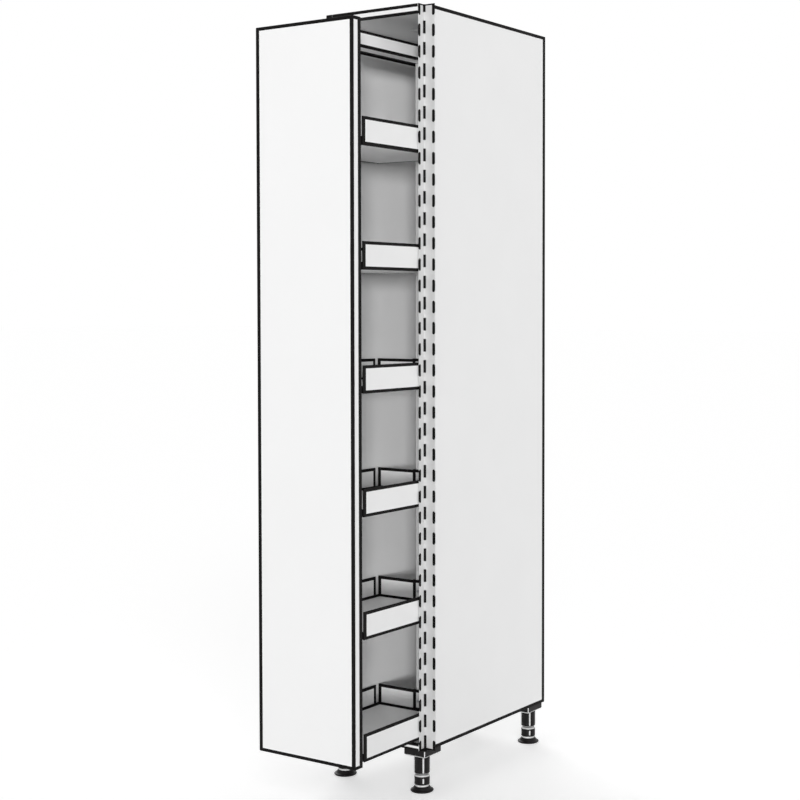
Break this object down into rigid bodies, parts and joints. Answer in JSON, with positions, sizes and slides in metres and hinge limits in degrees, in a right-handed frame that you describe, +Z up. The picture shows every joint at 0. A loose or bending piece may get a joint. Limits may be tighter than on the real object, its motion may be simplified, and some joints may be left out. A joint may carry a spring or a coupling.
{
  "type": "pull out larder unit",
  "caption": "Tall narrow kitchen cabinet on levelling feet with a handleless front that pulls out a frame of shallow trays.",
  "frame": {"origin": "on the floor, under the middle of the box around the unit as it stands open by 236 mm", "axes": "+Z up; the front faces -Y and travels along -Y when it is pulled; +X is to the right of someone who stands before it"},
  "size_m": [0.313, 0.828, 1.906],
  "materials": {
    "white_board": "white melamine faced board, satin, with a fine pearl texture",
    "white_lacquer": "white lacquered board, silk matt",
    "white_powder_coat": "white powder coated steel, fine grained",
    "grey_aluminium": "light grey satin anodised",
    "zinc_steel": "zinc plated steel",
    "black_plastic": "black moulded plastic",
    "soft_rubber": "soft translucent buffer"
  },
  "bodies": {
    "carcass": {"left_side_panel": "white_board", "right_side_panel": "white_board", "top_panel": "white_board", "bottom_panel": "white_board", "back_panel": "white_board", "grip_profile": "grey_aluminium", "wall_fixing_angle": "zinc_steel", "bottom_runner_outer": "zinc_steel", "top_guide_rail": "grey_aluminium", "leg_front_left_housing": "black_plastic", "leg_front_right_housing": "black_plastic", "leg_rear_left_housing": "black_plastic", "leg_rear_right_housing": "black_plastic"},
    "pullout": {"front_panel": "white_lacquer", "front_buffer_lower": "soft_rubber", "front_buffer_upper": "soft_rubber", "front_bracket_lower": "zinc_steel", "front_bracket_middle": "zinc_steel", "front_bracket_upper": "zinc_steel", "front_upright": "white_powder_coat", "rear_upright": "white_powder_coat", "bottom_beam": "white_powder_coat", "top_bar": "white_powder_coat", "bottom_runner_inner": "zinc_steel", "tray_1_base": "white_board", "tray_1_left_wall": "white_powder_coat", "tray_1_right_wall": "white_powder_coat", "tray_1_front_wall": "white_powder_coat", "tray_1_rear_wall": "white_powder_coat", "tray_2_base": "white_board", "tray_2_left_wall": "white_powder_coat", "tray_2_right_wall": "white_powder_coat", "tray_2_front_wall": "white_powder_coat", "tray_2_rear_wall": "white_powder_coat", "tray_3_base": "white_board", "tray_3_left_wall": "white_powder_coat", "tray_3_right_wall": "white_powder_coat", "tray_3_front_wall": "white_powder_coat", "tray_3_rear_wall": "white_powder_coat", "tray_4_base": "white_board", "tray_4_left_wall": "white_powder_coat", "tray_4_right_wall": "white_powder_coat", "tray_4_front_wall": "white_powder_coat", "tray_4_rear_wall": "white_powder_coat", "tray_5_base": "white_board", "tray_5_left_wall": "white_powder_coat", "tray_5_right_wall": "white_powder_coat", "tray_5_front_wall": "white_powder_coat", "tray_5_rear_wall": "white_powder_coat", "tray_6_base": "white_board", "tray_6_left_wall": "white_powder_coat", "tray_6_right_wall": "white_powder_coat", "tray_6_front_wall": "white_powder_coat", "tray_6_rear_wall": "white_powder_coat"},
    "bottom_slide": {"bottom_runner_middle": "zinc_steel"},
    "top_slide": {"top_guide_slide": "zinc_steel"},
    "foot_front_left": {"leg_front_left_foot": "black_plastic"},
    "foot_front_right": {"leg_front_right_foot": "black_plastic"},
    "foot_rear_left": {"leg_rear_left_foot": "black_plastic"},
    "foot_rear_right": {"leg_rear_right_foot": "black_plastic"}
  },
  "joints": [
    {"name": "pullout_slide", "type": "slide", "parent": "carcass", "child": "pullout", "axis": [0, -1, 0], "range_m": [-0.236, 0.234]},
    {"name": "bottom_slide_travel", "type": "slide", "parent": "carcass", "child": "bottom_slide", "axis": [0, -1, 0], "range_m": [-0.118, 0.117]},
    {"name": "top_slide_travel", "type": "slide", "parent": "carcass", "child": "top_slide", "axis": [0, -1, 0], "range_m": [-0.118, 0.117]},
    {"name": "foot_front_left_height", "type": "slide", "parent": "carcass", "child": "foot_front_left", "axis": [0, 0, -1], "range_m": [-0.003, 0.02]},
    {"name": "foot_front_right_height", "type": "slide", "parent": "carcass", "child": "foot_front_right", "axis": [0, 0, -1], "range_m": [-0.003, 0.02]},
    {"name": "foot_rear_left_height", "type": "slide", "parent": "carcass", "child": "foot_rear_left", "axis": [0, 0, -1], "range_m": [-0.003, 0.02]},
    {"name": "foot_rear_right_height", "type": "slide", "parent": "carcass", "child": "foot_rear_right", "axis": [0, 0, -1], "range_m": [-0.003, 0.02]}
  ],
  "couplings": [
    {"joint": "bottom_slide_travel", "follows": "pullout_slide", "ratio": 0.5},
    {"joint": "top_slide_travel", "follows": "pullout_slide", "ratio": 0.5}
  ]
}
